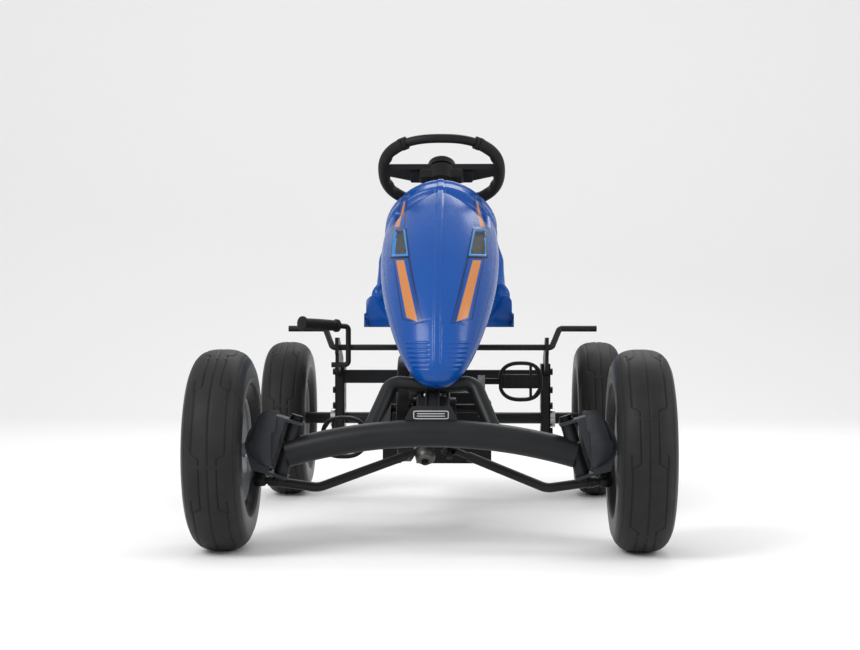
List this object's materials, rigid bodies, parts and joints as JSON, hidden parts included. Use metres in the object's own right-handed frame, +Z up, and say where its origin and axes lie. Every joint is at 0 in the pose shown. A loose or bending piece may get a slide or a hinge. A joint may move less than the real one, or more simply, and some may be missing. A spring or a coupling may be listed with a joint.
{
  "type": "pedal go-kart",
  "caption": "Child's pedal go-kart: tube frame, swinging front beam, steered air-tyre wheels, hood, bucket seat, chain drive and tyre brake.",
  "frame": {"origin": "on the ground under the middle of the wheelbase, which is also the bottom centre of the box", "axes": "+Z up, +Y towards the rear axle (the kart faces -Y), +X towards the driver's left"},
  "size_m": [0.824, 1.27, 0.7671],
  "materials": {
    "frame_coat": "satin charcoal powder coat",
    "knuckle_coat": "satin dark grey coat",
    "bright_steel": "zinc plated",
    "dark_steel": "black oxide",
    "black_plastic": "moulded, fine grain",
    "blue_plastic": "glossy moulded",
    "soft_grip": "matt moulded grip",
    "tyre_rubber": "matt rubber with grooves",
    "rim_silver": "silver moulded"
  },
  "bodies": {
    "frame": {"front_hoop": "frame_coat", "pivot_bush": "black_plastic", "column_channel": "frame_coat", "spine_tube": "frame_coat", "crank_housing": "frame_coat", "crank_bearings": "bright_steel", "rear_cross_bar": "frame_coat", "rear_post_left": "frame_coat", "rear_post_right": "frame_coat", "axle_bearings": "bright_steel", "axle_housing": "frame_coat", "post_bolts": "dark_steel", "column_strut": "frame_coat", "column_bushes": "black_plastic", "seat_rail": "frame_coat", "hood": "blue_plastic", "chain_guard": "black_plastic", "chain": "dark_steel", "drive_cover": "black_plastic"},
    "front_axle": {"front_beam": "frame_coat", "kingpin_tubes": "frame_coat", "pivot_stud": "bright_steel", "badge_plate": "frame_coat"},
    "knuckle_left": {"knuckle_bracket_left": "knuckle_coat", "kingpin_left": "dark_steel", "stub_axle_left": "bright_steel"},
    "knuckle_right": {"knuckle_bracket_right": "knuckle_coat", "kingpin_right": "dark_steel", "stub_axle_right": "bright_steel"},
    "tie_rod_left": {"tie_rod_left": "frame_coat"},
    "tie_rod_right": {"tie_rod_right": "frame_coat"},
    "steering": {"steering_wheel": "black_plastic", "wheel_grips": "soft_grip", "hub_cover": "black_plastic", "steering_column": "bright_steel", "drop_arm": "frame_coat"},
    "front_wheel_left": {"front_tyre_left": "tyre_rubber", "front_rim_left": "rim_silver", "front_bearings_left": "bright_steel"},
    "front_wheel_right": {"front_tyre_right": "tyre_rubber", "front_rim_right": "rim_silver", "front_bearings_right": "bright_steel"},
    "crank": {"crank_axle": "dark_steel", "crank_arms": "dark_steel", "pedal_spindles": "dark_steel", "chainring": "dark_steel"},
    "pedal_left": {"pedal_left": "black_plastic"},
    "pedal_right": {"pedal_right": "black_plastic"},
    "rear_drive": {"rear_shaft": "bright_steel", "rear_sprocket": "dark_steel", "rear_tyre_right": "tyre_rubber", "rear_rim_right": "rim_silver"},
    "rear_wheel_left": {"rear_tyre_left": "tyre_rubber", "rear_rim_left": "rim_silver"},
    "brake": {"brake_bar": "frame_coat", "brake_grip": "soft_grip"},
    "seat": {"seat_shell": "blue_plastic", "seat_carriage": "frame_coat"},
    "seat_knob": {"seat_knob": "black_plastic"}
  },
  "joints": [
    {"name": "beam_swing", "type": "hinge", "parent": "frame", "child": "front_axle", "pos_m": [0, -0.46, 0.204], "axis": [0, 1, 0], "range_deg": [-6, 6]},
    {"name": "steer", "type": "hinge", "parent": "frame", "child": "steering", "pos_m": [0.008, -0.008, 0.7], "axis": [0, 0.5878, 0.809], "range_deg": [-30, 30]},
    {"name": "knuckle_left_turn", "type": "hinge", "parent": "front_axle", "child": "knuckle_left", "pos_m": [0.2495, -0.46, 0.177], "axis": [-0.2823, 0, 0.9593], "range_deg": [-25, 25]},
    {"name": "tie_rod_left_pivot", "type": "hinge", "parent": "knuckle_left", "child": "tie_rod_left", "pos_m": [0.307, -0.4, 0.117], "axis": [-0.4559, 0.0414, 0.889], "range_deg": [-26, 26]},
    {"name": "front_wheel_left_spin", "type": "hinge", "parent": "knuckle_left", "child": "front_wheel_left", "pos_m": [0.362, -0.46, 0.175], "axis": [1, 0, 0], "continuous": true},
    {"name": "knuckle_right_turn", "type": "hinge", "parent": "front_axle", "child": "knuckle_right", "pos_m": [-0.2495, -0.46, 0.177], "axis": [0.2823, 0, 0.9593], "range_deg": [-25, 25]},
    {"name": "tie_rod_right_pivot", "type": "hinge", "parent": "knuckle_right", "child": "tie_rod_right", "pos_m": [-0.307, -0.4, 0.117], "axis": [0.4486, 0.0372, 0.893], "range_deg": [-26, 26]},
    {"name": "front_wheel_right_spin", "type": "hinge", "parent": "knuckle_right", "child": "front_wheel_right", "pos_m": [-0.362, -0.46, 0.175], "axis": [1, 0, 0], "continuous": true},
    {"name": "rear_drive_spin", "type": "hinge", "parent": "frame", "child": "rear_drive", "pos_m": [0, 0.46, 0.175], "axis": [1, 0, 0], "continuous": true},
    {"name": "rear_wheel_left_spin", "type": "hinge", "parent": "frame", "child": "rear_wheel_left", "pos_m": [0.354, 0.46, 0.175], "axis": [1, 0, 0], "continuous": true},
    {"name": "crank_spin", "type": "hinge", "parent": "frame", "child": "crank", "pos_m": [0, -0.22, 0.234], "axis": [1, 0, 0], "continuous": true},
    {"name": "pedal_left_spin", "type": "hinge", "parent": "crank", "child": "pedal_left", "pos_m": [0.1635, -0.12994, 0.28189], "axis": [1, 0, 0], "continuous": true},
    {"name": "pedal_right_spin", "type": "hinge", "parent": "crank", "child": "pedal_right", "pos_m": [-0.1635, -0.31006, 0.18611], "axis": [1, 0, 0], "continuous": true},
    {"name": "brake_pull", "type": "hinge", "parent": "frame", "child": "brake", "pos_m": [0, 0.37, 0.339], "axis": [-1, 0, 0], "range_deg": [0, 33], "stiffness_Nm_per_rad": 4, "springref_deg": -22.92},
    {"name": "seat_slide", "type": "slide", "parent": "frame", "child": "seat", "axis": [0, 1, 0], "range_m": [-0.045, 0.06]},
    {"name": "seat_knob_turn", "type": "hinge", "parent": "seat", "child": "seat_knob", "pos_m": [0.036, 0.21, 0.345], "axis": [1, 0, 0], "range_deg": [0, 120]}
  ],
  "couplings": [
    {"joint": "knuckle_left_turn", "follows": "steer", "ratio": 0.8059},
    {"joint": "tie_rod_left_pivot", "follows": "steer", "ratio": -0.84874},
    {"joint": "knuckle_right_turn", "follows": "steer", "ratio": 0.8059},
    {"joint": "tie_rod_right_pivot", "follows": "steer", "ratio": -0.8444},
    {"joint": "crank_spin", "follows": "rear_drive_spin", "ratio": 0.47222}
  ]
}
